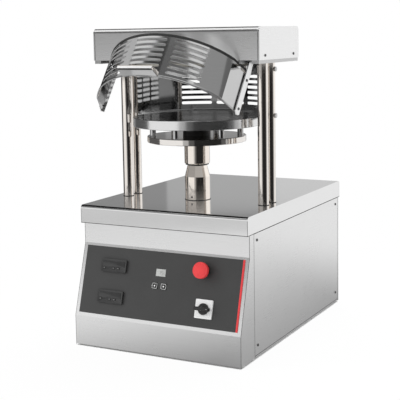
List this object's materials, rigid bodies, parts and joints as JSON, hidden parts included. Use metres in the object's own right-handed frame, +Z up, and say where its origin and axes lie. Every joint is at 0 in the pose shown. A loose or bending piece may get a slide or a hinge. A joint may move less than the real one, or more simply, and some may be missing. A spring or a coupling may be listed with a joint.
{
  "type": "pizza dough press",
  "caption": "Bench-top press with round heated plates: a screw lift raises the lower plate to a fixed head on columns, behind a slotted hinged guard, over a cabinet with a sloping console.",
  "frame": {"origin": "centre of the bounding box, on the bench that the feet stand on, with the guard raised", "axes": "+Z up, -Y towards the operator and the console, +X to the operator's right when facing the machine"},
  "size_m": [0.4716, 0.7552, 0.803],
  "materials": {
    "stainless_casing": "satin brushed stainless sheet",
    "polished_casing": "bright brushed stainless sheet",
    "machined_steel": "machined and zinc-plated steel",
    "guard_steel": "brushed stainless sheet",
    "polished_steel": "polished, chrome-plated steel",
    "press_plate": "ground and plated steel plate",
    "galvanised": "galvanised sheet",
    "frame_paint": "grey painted tube",
    "motor_paint": "blue-grey paint",
    "alloy": "turned aluminium",
    "bronze": "turned bronze",
    "heater_foil": "steel-clad mica heater",
    "insulation_board": "pressed insulating board",
    "black_insulator": "black heat-proof moulding",
    "black_rubber": "black rubber",
    "dark_screws": "blackened steel",
    "dark_panel": "dark grey overlay",
    "black_gloss": "black moulded bezel",
    "black_matte": "black moulded plastic",
    "display": "grey display window",
    "red_plastic": "red moulded plastic",
    "pale_plastic": "pale grey moulded plastic"
  },
  "bodies": {
    "frame": {"front_fascia": "stainless_casing", "left_side_panel": "stainless_casing", "right_side_panel": "stainless_casing", "rear_panel": "stainless_casing", "head_cover": "stainless_casing", "head_side_left": "stainless_casing", "head_side_right": "stainless_casing", "worktop": "polished_casing", "crosshead": "machined_steel", "press_bed": "machined_steel", "column_nuts": "machined_steel", "upper_plate_bolts": "machined_steel", "guard_pivot_pins": "machined_steel", "rear_guard_screws": "machined_steel", "guide_rod": "machined_steel", "nut_bearings": "machined_steel", "bearing_housing": "machined_steel", "rear_guard": "guard_steel", "columns": "polished_steel", "guide_sleeve": "polished_steel", "upper_plate": "press_plate", "bottom_tray": "galvanised", "motor_hanger": "galvanised", "base_frame": "frame_paint", "motor": "motor_paint", "guide_bushes": "bronze", "upper_heater": "heater_foil", "upper_insulation": "insulation_board", "feet": "black_rubber", "rod_wiper": "black_rubber", "drive_belt": "black_rubber", "casing_screws": "dark_screws", "control_panel": "dark_panel", "upper_controller": "black_gloss", "lower_controller": "black_gloss", "cable_gland": "black_matte", "estop_body": "black_matte", "timer_module": "display", "main_switch": "pale_plastic", "contactors": "pale_plastic"},
    "guard": {"front_guard": "guard_steel", "guard_arms": "stainless_casing", "guard_screws": "dark_screws"},
    "lift": {"lower_plate": "press_plate", "lower_heater": "heater_foil", "plate_standoffs": "polished_steel", "insulating_block": "black_insulator", "carrier_disc": "polished_steel", "lift_hub": "polished_steel", "piston_rod": "polished_steel", "torque_arm": "machined_steel"},
    "drive_nut": {"screw_nut": "bronze", "nut_pulley": "alloy"},
    "motor_rotor": {"motor_shaft": "machined_steel", "motor_pulley": "alloy"},
    "estop_plunger": {"estop_stem": "black_matte"},
    "estop_mushroom": {"estop_cap": "red_plastic"},
    "main_switch_knob": {"switch_knob": "black_matte"},
    "down_button": {"timer_down_button": "black_matte"},
    "up_button": {"timer_up_button": "black_matte"}
  },
  "joints": [
    {"name": "lift_slide", "type": "slide", "parent": "frame", "child": "lift", "axis": [0, 0, 1], "range_m": [0, 0.105]},
    {"name": "nut_spin", "type": "hinge", "parent": "frame", "child": "drive_nut", "pos_m": [0, -0.06895, 0.2565], "axis": [0, 0, 1], "range_deg": [-6, 1896]},
    {"name": "motor_spin", "type": "hinge", "parent": "frame", "child": "motor_rotor", "pos_m": [0, 0.16605, 0.2565], "axis": [0, 0, 1], "range_deg": [-12, 3792]},
    {"name": "guard_hinge", "type": "hinge", "parent": "frame", "child": "guard", "pos_m": [0, -0.12495, 0.742], "axis": [1, 0, 0], "range_deg": [0, 36.5]},
    {"name": "estop_push", "type": "slide", "parent": "frame", "child": "estop_plunger", "axis": [0, 0.9574, -0.2888], "range_m": [0, 0.005], "stiffness_N_per_m": 600, "springref_m": -0.003},
    {"name": "estop_twist", "type": "hinge", "parent": "estop_plunger", "child": "estop_mushroom", "pos_m": [0.119, -0.26521, 0.21734], "axis": [0, 0.9574, -0.2888], "range_deg": [0, 45], "stiffness_Nm_per_rad": 0.05, "springref_deg": -5.73},
    {"name": "main_switch_turn", "type": "hinge", "parent": "frame", "child": "main_switch_knob", "pos_m": [0.13, -0.29135, 0.1307], "axis": [0, 0.9574, -0.2888], "range_deg": [0, 90]},
    {"name": "down_button_press", "type": "slide", "parent": "frame", "child": "down_button", "axis": [0, 0.9574, -0.2888], "range_m": [0, 0.0007], "stiffness_N_per_m": 800, "springref_m": -0.0008},
    {"name": "up_button_press", "type": "slide", "parent": "frame", "child": "up_button", "axis": [0, 0.9574, -0.2888], "range_m": [0, 0.0007], "stiffness_N_per_m": 800, "springref_m": -0.0008}
  ],
  "couplings": [
    {"joint": "nut_spin", "follows": "lift_slide", "rad_per_m": 314.16},
    {"joint": "motor_spin", "follows": "lift_slide", "rad_per_m": 628.32}
  ]
}
